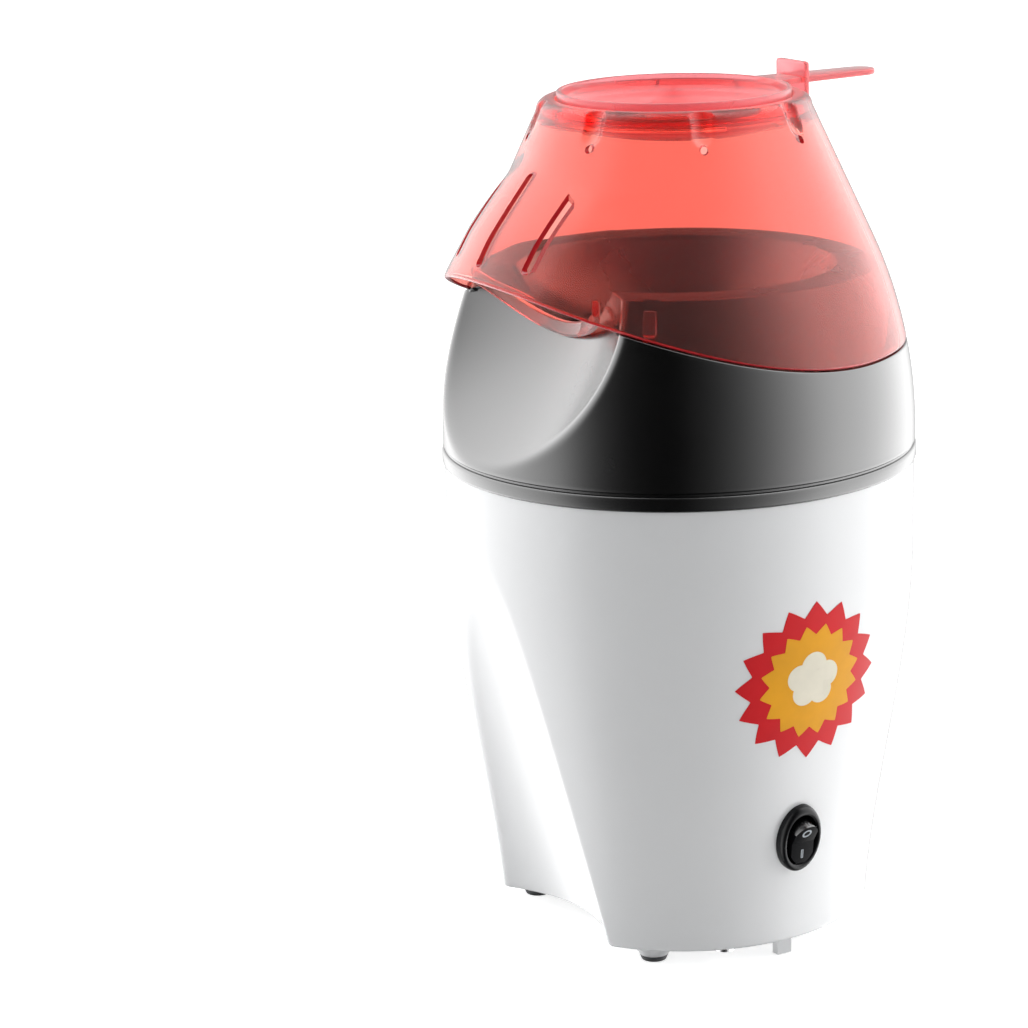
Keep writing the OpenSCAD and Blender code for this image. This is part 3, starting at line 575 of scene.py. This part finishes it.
# the hood's discs: height, centre distance, radius. The steps between them are smoothed out
HOOD = np.array([[214, 29, 54.6], [228, 27.6, 54], [236, 24.6, 52], [244, 22.6, 49.2], [251, 19.6, 46.6],
                 [258, 18.4, 42], [272, 20.6, 28], [290, 22, 9]], float)
HOOD_STEP, HOOD_SOFT, HOOD_REACH, HOOD_EDGE = 0.25, 1.6, 16, 1.6
fine_z = np.arange(206, 292, HOOD_STEP)
soft = np.exp(-0.5 * (np.arange(-HOOD_REACH, HOOD_REACH + 1) * HOOD_STEP / HOOD_SOFT) ** 2)
soft /= soft.sum()


def softened(column):
    """A column of HOOD at every fine_z, with its corners smoothed."""
    rough_line = np.interp(fine_z, HOOD[:, 0], HOOD[:, column])
    return np.convolve(np.pad(rough_line, HOOD_REACH, mode="edge"), soft, "valid")


hood_y, hood_r = softened(1), softened(2)


def lid_at(phi, z, inset):
    """Radius of the lid's wall, hood included, at angle phi and height z."""
    phi, z = np.broadcast_arrays(phi, z)
    cy, r = np.interp(z, fine_z, hood_y), np.interp(z, fine_z, hood_r) - inset
    s, c = np.sin(np.radians(phi)), np.cos(np.radians(phi))
    hood = cy * c + np.sqrt(np.clip(r**2 - (cy * s) ** 2, 0, None))
    return smax(cone_at(z) - inset, np.where(c > 0, hood, 0), HOOD_EDGE)


FLUTES = (np.arange(8) + 0.5) * 45 + 90
FLUTE_R, FLUTE_OUT, FLUTE_Z, FLUTE_END_Z = 5, 3.9, 279, 276.6


def fluted(phi, r, z):
    """r with the eight scoops round the shoulder taken out of it."""
    off = signed(phi[None, :] - FLUTES[:, None])
    off = off[np.argmin(np.abs(off), axis=0), np.arange(len(phi))]
    across = r * np.sin(np.radians(off))
    run = np.clip(FLUTE_END_Z - z, 0, None) / cos(LEAN)
    axis = cone_at(FLUTE_Z) + FLUTE_OUT - (z - FLUTE_Z) * tan(LEAN)
    scoop = axis - np.sqrt(np.clip(FLUTE_R**2 - across**2 - run**2, 0, None)) / cos(LEAN)
    return smin(r, scoop, 0.12)


phi = np.arange(480) * 0.75
rim_z = follow_edge(phi, lambda z: lid_at(phi, z, 0), lift=0.3)
out_r, in_r = lid_at(phi, rim_z + 1, 0), lid_at(phi, rim_z + 1, LID_WALL)
rows = []
rim_angles = np.radians(np.arange(198, 360, 18))
for a in rim_angles:
    rows.append(polar(phi, (out_r + in_r) / 2 + (out_r - in_r) / 2 * cos(a), rim_z + 1 + sin(a)))
PLAIN_Z = 270
for t in np.linspace(0, 1, 54)[:-1]:
    z = rim_z + 1 + t * (PLAIN_Z - rim_z - 1)
    rows.append(polar(phi, lid_at(phi, z, 0), z))
for z in np.linspace(PLAIN_Z, SHOULDER_Z, 22)[:-1]:
    rows.append(polar(phi, fluted(phi, lid_at(phi, z, 0), z), z))
top_r = float(cone_at(SHOULDER_Z))
for a in np.radians(np.arange(0, 91, 10)):
    z = SHOULDER_Z + SHOULDER_ROUND * sin(a)
    r = np.full(len(phi), top_r - SHOULDER_ROUND + SHOULDER_ROUND * cos(a))
    rows.append(polar(phi, fluted(phi, r, z), z))
# the top's hole and the ring below it that the cup stands on
for r, z in ((41.0, LID_TOP), (40.2, LID_TOP), (39.85, LID_TOP - 0.1), (39.65, LID_TOP - 0.35),
             (39.6, LID_TOP - 0.8), (39.6, 281.2), (39.6, 280.7), (39.45, 280.46), (39.1, 280.4),
             (37.4, 280.4), (37.0, 280.25), (36.8, 279.9), (36.8, 279.1), (36.95, 278.75), (37.3, 278.6),
             (40.5, 278.6), (43.2, 278.6)):
    rows.append(polar(phi, r, z))
INSIDE_Z = 278.2
for t in np.linspace(0, 1, 46)[1:]:
    z = INSIDE_Z + t * (rim_z + 1 - INSIDE_Z)
    rows.append(polar(phi, lid_at(phi, z, LID_WALL), z))
rows = np.array(rows)
lid = put("lid_shell", rows.reshape(-1, 3), grid_faces(len(rows), len(phi), True), "lid", "red_clear", RED,
          replaces=["lid"], smooth=40)
# painted shade: the rim's bead, and the walls of the slots and holes below, get an opaque deeper red where
# the clear plastic looks darker edge-on
lid.data.materials.append(RED_PAINTED_SHADE)
for poly in lid.data.polygons:
    if max(v // len(phi) for v in poly.vertices) < len(rim_angles):
        poly.material_index = 1
SLOT_X, SLOT_R, SLOT_LOW, SLOT_HIGH = (-21.5, 0, 21.5), 1.7, 237, 262
HOLE_R, HOLE_Z = 1.3, 272.6
cutters = []
TO_FRONT = Matrix.Rotation(radians(90), 4, "X")
for x in SLOT_X:
    stadium = [(x + SLOT_R * cos(a), (SLOT_HIGH if a < pi else SLOT_LOW) + SLOT_R * sin(a))
               for a in np.linspace(0, 2 * pi, 41)[:-1]]
    cutters.append(tool(stadium, 54, 100, TO_FRONT))
for f in FLUTES:
    place = Matrix.Rotation(radians(f), 4, "Z") @ Matrix.Translation((0, 0, HOLE_Z)) @ TO_FRONT
    cutters.append(tool(circle(HOLE_R, 24), 38, 60, place))
cut(lid, *cutters)
shade(lid.data, 40)


def near(a, b, r):
    """Whether the length of (a, b) is r, to within the flats of the cutters."""
    return abs(Vector((a, b)).length - r) < 0.05


def wall_of_hole(at, normal):
    """Whether a face is the wall of one of the hood's slots or of a hole below a flute."""
    if at.y < -40 and abs(normal.y) < 0.05:
        return any(near(at.x - x, at.z - min(max(at.z, SLOT_LOW), SLOT_HIGH), SLOT_R) for x in SLOT_X)
    for f in np.radians(FLUTES):
        out, across = Vector((sin(f), -cos(f), 0)), Vector((cos(f), sin(f), 0))
        along_hole = at.dot(out) > 0 and abs(normal.dot(out)) < 0.05
        if along_hole and near(at.dot(across), at.z - HOLE_Z, HOLE_R):
            return True
    return False


# the walls of the slots and holes get the painted deeper-red shade too
for poly in lid.data.polygons:
    if 234 * MM < poly.center.z < 275 * MM and wall_of_hole(poly.center / MM, poly.normal):
        poly.material_index = 1


def sweep(name, stations, body, slot, material, **kw):
    """A closed solid through a row of closed loops with the same number of points."""
    loops = np.array(stations)
    n, m = loops.shape[:2]
    faces = grid_faces(n, m, False).tolist() + [list(range(m))[::-1], [(n - 1) * m + j for j in range(m)]]
    return put(name, loops.reshape(-1, 3), faces, body, slot, material, **kw)


# bar across the chute's mouth, under the hood: an arc in plan that sags towards its middle
BAR_HALF, BAR_BOW, BAR_Y, BAR_Z, BAR_RISE = 43.4, 20, -65.6, 211.7, 0.0089
section = rounded(rect(-1.1, -2.5, 1.1, 2.5), 0.8, 4)
stations = []
for t in np.radians(np.linspace(26, 154, 60)):
    x, y = BAR_HALF * cos(t), BAR_Y + BAR_BOW * sin(t)
    nx, ny = Vector((BAR_BOW * cos(t), BAR_HALF * sin(t))).normalized()
    stations.append([(x + a * nx, y + a * ny, BAR_Z + BAR_RISE * x * x + b) for a, b in section])
sweep("lid_bar", stations, "lid", "red_clear", RED, smooth=60)

for side, label in ((1, "right"), (-1, "left")):
    turn = Matrix.Rotation(radians(side * TAB_PHI), 4, "Z")
    stations = []
    for up, trim in ((0.0, 0.6), (0.25, 0.2), (0.8, 0.0), (7.2, 0.0), (7.75, 0.2), (8.0, 0.6)):
        z = TAB_Z + up
        r0, r1 = float(cone_at(220)) - 4.1 + trim, float(cone_at(z)) - 1.0
        half = 2 - trim / 2
        loop = rounded(rect(-half, -r0, half, -r1), 0.5, 3)
        stations.append([tuple(turn @ Vector((x, y, z))) for x, y in loop])
    sweep("lid_tab_" + label, stations, "lid", "red_clear", RED, smooth=60)

# ------------------------------------------------------------------------- measuring cup

BOWL_R, BOWL_Z, BOWL_DEEP, CUP_WALL = 36.2, 270.3, 10.4, 1.6


def dish(r, lift):
    """Height of the cup's bottom, raised by lift."""
    return BOWL_Z + lift + BOWL_DEEP * (r / BOWL_R) ** 3


under = [(r, dish(r, 0)) for r in np.linspace(0.3, BOWL_R, 24)]
wall = [(37.4, 280.72), (38.2, 280.78), (38.62, 281.1), (38.72, 282.0), (38.85, 284.0), (39.0, 285.9),
        (38.9, 286.35), (38.6, 286.56), (38.2, 286.6), (37.8, 286.56), (37.5, 286.35), (37.4, 285.9),
        (37.2, 284.2), (36.95, 283.0), (36.4, 282.5)]
over = [(r, dish(r, CUP_WALL)) for r in np.linspace(35.6, 0.3, 24)]
cup = revolve("cup_shell", under + wall + over, "cup", "red_clear", RED_CUP, cols=192,
              replaces=["measuring_cup"], smooth=50)
# flat handle with a round tip, and the plate that stands across it
TIP_R, ROOT_HALF, ROOT_Y = 5.5, 7.5, 37.8
tip = [(TIP_R * cos(a), HANDLE_Y - TIP_R + TIP_R * sin(a)) for a in np.radians(np.arange(0, 181, 7.5))]
stations = []
for z, trim in ((284.6, 0.5), (284.75, 0.15), (285.1, 0), (286.1, 0), (286.45, 0.15), (286.6, 0.5)):
    loop = [(x * (1 - trim / TIP_R), y - trim) for x, y in tip]
    loop = [(ROOT_HALF - trim, ROOT_Y)] + loop + [(-ROOT_HALF + trim, ROOT_Y)]
    stations.append([(x, y, z) for x, y in loop])
handle = sweep("cup_handle", stations, "cup", "red_clear", RED_CUP, smooth=50)
stations = []
STOP_HALF, STOP_Z = 8.3, 279.4
for y, trim in ((47.2, 0.4), (47.3, 0.12), (47.6, 0), (48.8, 0), (49.1, 0.12), (49.2, 0.4)):
    half, low, high = STOP_HALF - trim, STOP_Z + trim, CUP_TOP - trim
    loop = rounded(rect(-half, low, half, high), 1.2, 4)
    stations.append([(x, y, z) for x, z in loop])
stop = sweep("cup_stop", stations, "cup", "red_clear", RED_CUP, smooth=50)
# both become part of the cup's own mesh
for ob in (handle, stop):
    ob.parent = None
    ob.matrix_world = Matrix.Identity(4)
cut(cup, handle, stop, keep="UNION")
shade(cup.data, 45)

# -------------------------------------------------------------------------------- switch

bezel = [(8.9, -6), (8.9, 2.3), (8.97, 2.65), (9.2, 2.95), (9.6, 3.2), (10.1, 3.28), (10.6, 3.2),
         (11.1, 2.95), (11.55, 2.5), (11.85, 1.9), (12.0, 1.2), (12.0, -1.2), (10.0, -1.2), (10.0, -15),
         (0.01, -15), (0.01, -6)]
revolve("switch_bezel", bezel, "base", "switch_black", BEZEL, cols=128, place=AT_SWITCH @ OVAL,
        replaces=["switch_body"], smooth=40)
ROCKER_OUT, ROCKER_TILT, ROCKER_HALF = 0.5, 11, 4.4
ROCKER_R, ROCKER_MID, ROCKER_END = 7.75, 2.9, 4.6
AT_ROCKER = AT_SWITCH @ Matrix.Translation((0, 0, ROCKER_OUT)) @ lean_y(ROCKER_TILT)
profile = rounded([(-ROCKER_R, -1), (-3, -2.6), (3, -2.6), (ROCKER_R, -1), (ROCKER_R, ROCKER_END),
                   (0, ROCKER_MID), (-ROCKER_R, ROCKER_END)], 0.5, 4)
rocker = prism("rocker_cap", profile, -ROCKER_HALF, ROCKER_HALF, "rocker", "switch_black", SWITCH,
               place=AT_ROCKER @ TO_FRONT, replaces=["switch_rocker"], smooth=30)
cut(rocker, tool(circle(ROCKER_R, 96), -10, 10, AT_ROCKER @ OVAL), keep="INTERSECT")
modify(rocker, "BEVEL", width=0.3 * MM, segments=3, limit_method="ANGLE", angle_limit=radians(40),
       harden_normals=False)
apply_all(rocker)
shade(rocker.data, 35)
# the rocker's upper end is polished
rocker.data.materials.append(BLACK)
up_side = AT_ROCKER.to_3x3() @ Vector((-1, 0, 0))
for poly in rocker.data.polygons:
    if poly.normal.dot(up_side) > 0.35:
        poly.material_index = 1


def on_rocker(x, y, lift):
    """A point above the rocker's face: x down, y across."""
    return AT_ROCKER @ Vector((x, y, ROCKER_MID + (ROCKER_END - ROCKER_MID) * abs(x) / ROCKER_R + lift))


def mark(name, inside, outside):
    """A closed raised line on the rocker, between two outlines with the same number of points."""
    loops = [[on_rocker(x, y, lift) for x, y in line] for line, lift in
             ((inside, -0.1), (inside, 0.05), (outside, 0.05), (outside, -0.1))]
    verts = [tuple(v) for loop in loops for v in loop]
    put(name, verts, grid_faces(4, len(inside), True), "rocker", "switch_black", MARK, smooth=30)


OFF_X, ON_X = -4.3, 4.3
mark("mark_off", circle(1.1, 48, x=OFF_X), circle(1.75, 48, x=OFF_X))
bar = rounded(rect(2.6, -0.45, 5.6, 0.45), 0.1, 3)
mark("mark_on", [(ON_X + (x - ON_X) * 0.9, y * 0.3) for x, y in bar], bar)

# ------------------------------------------------------------------------------- badge

def layer(name, outline, low, high, material, replaces=()):
    """A thin print that follows the body's side: outline(angle) gives its radius in mm."""
    rings, n = 14, 384
    a = np.arange(n) * 2 * pi / n
    r = outline(a)
    verts = []
    for lift, shares in ((high, np.linspace(0.02, 1, rings)), (low, np.linspace(1, 0.02, rings))):
        for s in shares:
            y, z = r * s * np.cos(a), BADGE_Z + r * s * np.sin(a)
            verts.append(np.stack([np.sqrt((body_at(z) + lift) ** 2 - y**2), y, z], -1))
    verts = np.array(verts)
    faces = grid_faces(2 * rings, n, False).tolist()
    faces += [list(range(n)), [(2 * rings - 1) * n + j for j in range(n)]]
    put(name, verts.reshape(-1, 3), faces, "base", "badge_print", material, replaces=replaces, smooth=30)


def burst(points, big, small, turn=0.0):
    """Outline of a sunburst with that many points, between two radii."""
    def outline(a):
        u = np.abs(((a + turn) * points / (2 * pi)) % 1 - 0.5) * 2
        return small + (big - small) * u**1.15
    return outline


def kernel_shape(a):
    """A popped kernel: five rounded lobes."""
    best = np.zeros_like(a)
    for ang, d, r in ((90, 5.2, 4.9), (18, 5.5, 4.6), (-50, 4.9, 4.4), (-130, 4.9, 4.4), (162, 5.5, 4.6)):
        off = a - radians(ang)
        inside = r**2 - (d * np.sin(off)) ** 2
        reach = d * np.cos(off) + np.sqrt(np.clip(inside, 0, None))
        best = np.maximum(best, np.where(inside > 0, reach, 0))
    return best


layer("badge_burst", burst(16, 27.4, 22.6), -0.3, 0.18, PRINT_RED, replaces=["badge"])
layer("badge_centre", burst(16, 19.6, 16.2, 0.2), 0.0, 0.26, PRINT_AMBER)
layer("badge_kernel", kernel_shape, 0.0, 0.34, PRINT_CREAM)

# --------------------------------------------------------------- floor, light and camera

MIDDLE = Vector((0, 0, 0.14))


def lit(name, azimuth, height, distance, size, power, **seen):
    """A soft area lamp aimed at the part's middle. azimuth is in degrees, 0 at -Y and 90 at +X."""
    data = bpy.data.lights.new(name, "AREA")
    data.shape = "RECTANGLE"
    data.size, data.size_y = size
    data.energy = power
    ob = bpy.data.objects.new(name, data)
    bpy.context.scene.collection.objects.link(ob)
    a = radians(azimuth)
    ob.location = (distance * sin(a), -distance * cos(a), height)
    ob.rotation_mode = "QUATERNION"
    ob.rotation_quaternion = (MIDDLE - ob.location).to_track_quat("-Z", "Y")
    for key, value in seen.items():
        setattr(ob, "visible_" + key, value)


# the side that the light is arranged for, in degrees from -Y towards +X
FRONT = 56.4
lit("key_right", FRONT + 88, 0.45, 1.0, (0.7, 1.0), 5.0, camera=False, transmission=False, glossy=False)
lit("fill_left", FRONT - 95, 0.40, 1.0, (0.7, 1.0), 5.0, camera=False, transmission=False, glossy=False)
overhead = bpy.data.lights.new("overhead", "SUN")
overhead.energy, overhead.angle = 1.2, radians(70)
overhead_ob = bpy.data.objects.new("overhead", overhead)
bpy.context.scene.collection.objects.link(overhead_ob)
overhead_ob.visible_glossy = False

# the floor glows a little where the camera looks at it, so that it stays as pale as the backdrop
floor = bpy.data.meshes.new("floor")
xs = np.linspace(-6, 6, 13)
squares = grid_faces(len(xs), len(xs), False, False)
floor.from_pydata([(x, y, 0) for y in xs for x in xs], [], squares.tolist())
floor_ob = bpy.data.objects.new("floor", floor)
bpy.context.scene.collection.objects.link(floor_ob)
pale = finish_of("pale_floor", (0.93, 0.93, 0.93), 0.6, spread=0.05, tone=0.01, scale=3, bump=0.01, fine=200)
tree, surface = pale.node_tree, pale.node_tree.nodes["Principled BSDF"]
path = add(tree, "ShaderNodeLightPath")
seen = math_node(tree, "MAXIMUM", path.outputs["Is Camera Ray"], path.outputs["Is Transmission Ray"])
glow = math_node(tree, "MULTIPLY", seen.outputs["Value"], 0.72)
tree.links.new(glow.outputs["Value"], surface.inputs["Emission Strength"])
surface.inputs["Emission Color"].default_value = (1, 1, 1, 1)
floor.materials.append(pale)
floor_ob.visible_glossy = False

# the studio: white behind, and for reflections a tent that is dark on one side and bright round it.
# Each stop is an angle round the part, in degrees on from FRONT, and a strength
TENT = ((-180, 0.3), (-172, 0.45), (-160, 1.5), (-150, 2.5), (-130, 3.4), (-110, 3.6), (-85, 3.0),
        (-62, 2.0), (-48, 0.65), (-38, 0.18), (-25, 0.03), (0, 0.0), (11, 0.08), (20, 0.2), (30, 0.44),
        (40, 0.85), (50, 1.45), (61, 2.2), (72, 3.1), (85, 3.6), (98, 3.6), (114, 3.6), (135, 3.3),
        (152, 2.5), (164, 0.9), (173, 0.3), (180, 0.3))
TENT_FULL = 5.0
world = bpy.data.worlds.new("studio")
bpy.context.scene.world = world
world.use_nodes = True
tree = world.node_tree
path = add(tree, "ShaderNodeLightPath")


def background(strength):
    return add(tree, "ShaderNodeBackground", Color=(1, 1, 1, 1), Strength=strength)


def choose(factor, off, on):
    """A mix of two backgrounds: off where factor is 0, on where it is 1."""
    n = add(tree, "ShaderNodeMixShader")
    tree.links.new(factor, n.inputs[0])
    tree.links.new(off.outputs[0], n.inputs[1])
    tree.links.new(on.outputs[0], n.inputs[2])
    return n


ray = add(tree, "ShaderNodeTexCoord")
aim = add(tree, "ShaderNodeVectorRotate", Angle=radians(90 - FRONT))
aim.rotation_type = "Z_AXIS"
tree.links.new(ray.outputs["Generated"], aim.inputs["Vector"])
part = add(tree, "ShaderNodeSeparateXYZ")
tree.links.new(aim.outputs["Vector"], part.inputs["Vector"])
around = math_node(tree, "ARCTAN2", part.outputs["Y"], part.outputs["X"])
share = map_range(tree, -pi, pi, 0.0, 1.0)
tree.links.new(around.outputs["Value"], share.inputs["Value"])
ramp = add(tree, "ShaderNodeValToRGB")
for degree, strength in TENT[1:-1]:
    ramp.color_ramp.elements.new((degree + 180) / 360)
for e, (degree, strength) in zip(ramp.color_ramp.elements, TENT):
    e.color = (*[strength / TENT_FULL] * 3, 1)
tree.links.new(share.outputs["Result"], ramp.inputs["Fac"])
tent = background(TENT_FULL)
below = map_range(tree, -0.92, -0.62, 0.05, 1.0)
tree.links.new(part.outputs["Z"], below.inputs["Value"])
dimmed = add(tree, "ShaderNodeVectorMath")
dimmed.operation = "SCALE"
tree.links.new(ramp.outputs["Color"], dimmed.inputs[0])
tree.links.new(below.outputs["Result"], dimmed.inputs["Scale"])
tree.links.new(dimmed.outputs["Vector"], tent.inputs["Color"])
# the backdrop is seen directly or straight through the lid; what is reflected sees the tent
straight = math_node(tree, "LESS_THAN", path.outputs["Glossy Depth"], 0.5)
through = math_node(tree, "MULTIPLY", path.outputs["Is Transmission Ray"], straight.outputs["Value"])
either = math_node(tree, "MAXIMUM", path.outputs["Is Camera Ray"], through.outputs["Value"])
inside = choose(path.outputs["Is Glossy Ray"], background(0.25), tent)
whole = choose(either.outputs["Value"], inside, background(1.0))
tree.links.new(whole.outputs["Shader"], tree.nodes["World Output"].inputs["Surface"])

scene = bpy.context.scene
scene.view_settings.view_transform = "Standard"
scene.view_settings.look = "None"
cam = bpy.data.objects.new("camera", bpy.data.cameras.new("camera"))
scene.collection.objects.link(cam)
scene.camera = cam
cam.data.lens = 118.6
cam.data.sensor_width = 36
cam.data.clip_start, cam.data.clip_end = 0.05, 50
# where it stands and looks when FRONT is turned to -Y
EYE = Vector((0, -1.1203, 0.4339))
pitch, yaw, roll = 0.2549, -0.0504, -0.026
fwd = Vector((sin(yaw) * cos(pitch), cos(yaw) * cos(pitch), -sin(pitch)))
right = Vector((cos(yaw), -sin(yaw), 0))
up = right.cross(fwd)
side = cos(roll) * right + sin(roll) * up
top = -sin(roll) * right + cos(roll) * up
turn = Matrix.Rotation(radians(FRONT), 3, "Z")
place = Matrix([turn @ v for v in (side, top, -fwd)]).transposed().to_4x4()
place.translation = turn @ EYE
cam.matrix_world = place
